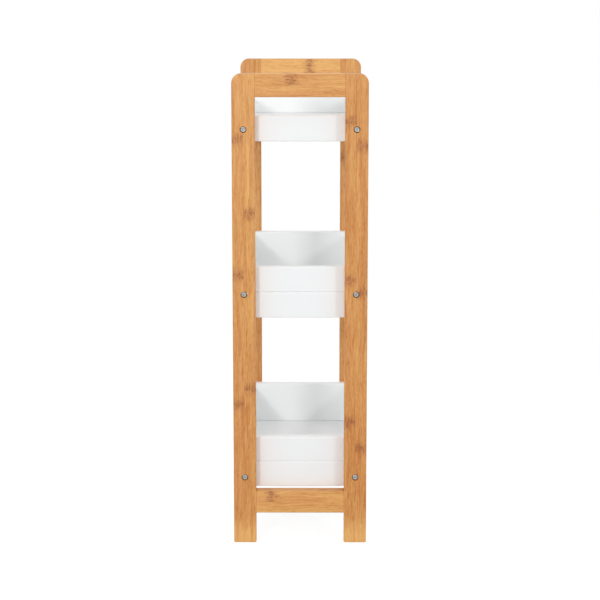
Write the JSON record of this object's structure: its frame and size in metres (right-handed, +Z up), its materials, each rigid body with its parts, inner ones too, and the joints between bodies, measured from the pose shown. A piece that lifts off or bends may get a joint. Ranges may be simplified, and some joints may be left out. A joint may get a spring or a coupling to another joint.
{
  "type": "bathroom shelf unit",
  "caption": "Slim free-standing shelf unit with bamboo end frames, rounded at the top, and white open trays bolted between them.",
  "frame": {"origin": "on the floor, under the middle of the unit", "axes": "+Z up; X across an end frame, +X to the right seen from the front end; Y along the trays, from the front frame at -Y to the rear frame at +Y"},
  "size_m": [0.198, 0.41, 0.7],
  "materials": {
    "bamboo": "laminated bamboo, clear satin lacquer",
    "painted_board": "fibreboard, white satin paint",
    "zinc_bolt": "zinc-plated steel",
    "zinc_insert": "zinc-plated steel"
  },
  "bodies": {
    "root": {"front_left_post": "bamboo", "front_right_post": "bamboo", "front_top_rail": "bamboo", "front_bottom_rail": "bamboo", "rear_left_post": "bamboo", "rear_right_post": "bamboo", "rear_top_rail": "bamboo", "rear_bottom_rail": "bamboo", "top_tray_front_wall": "painted_board", "top_tray_rear_wall": "painted_board", "top_tray_left_wall": "painted_board", "top_tray_right_wall": "painted_board", "top_tray_floor": "painted_board", "top_tray_inserts": "zinc_insert", "top_tray_bolts": "zinc_bolt", "middle_tray_front_wall": "painted_board", "middle_tray_rear_wall": "painted_board", "middle_tray_left_wall": "painted_board", "middle_tray_right_wall": "painted_board", "middle_tray_floor": "painted_board", "middle_tray_inserts": "zinc_insert", "middle_tray_bolts": "zinc_bolt", "bottom_tray_front_wall": "painted_board", "bottom_tray_rear_wall": "painted_board", "bottom_tray_left_wall": "painted_board", "bottom_tray_right_wall": "painted_board", "bottom_tray_floor": "painted_board", "bottom_tray_inserts": "zinc_insert", "bottom_tray_bolts": "zinc_bolt"}
  },
  "joints": []
}
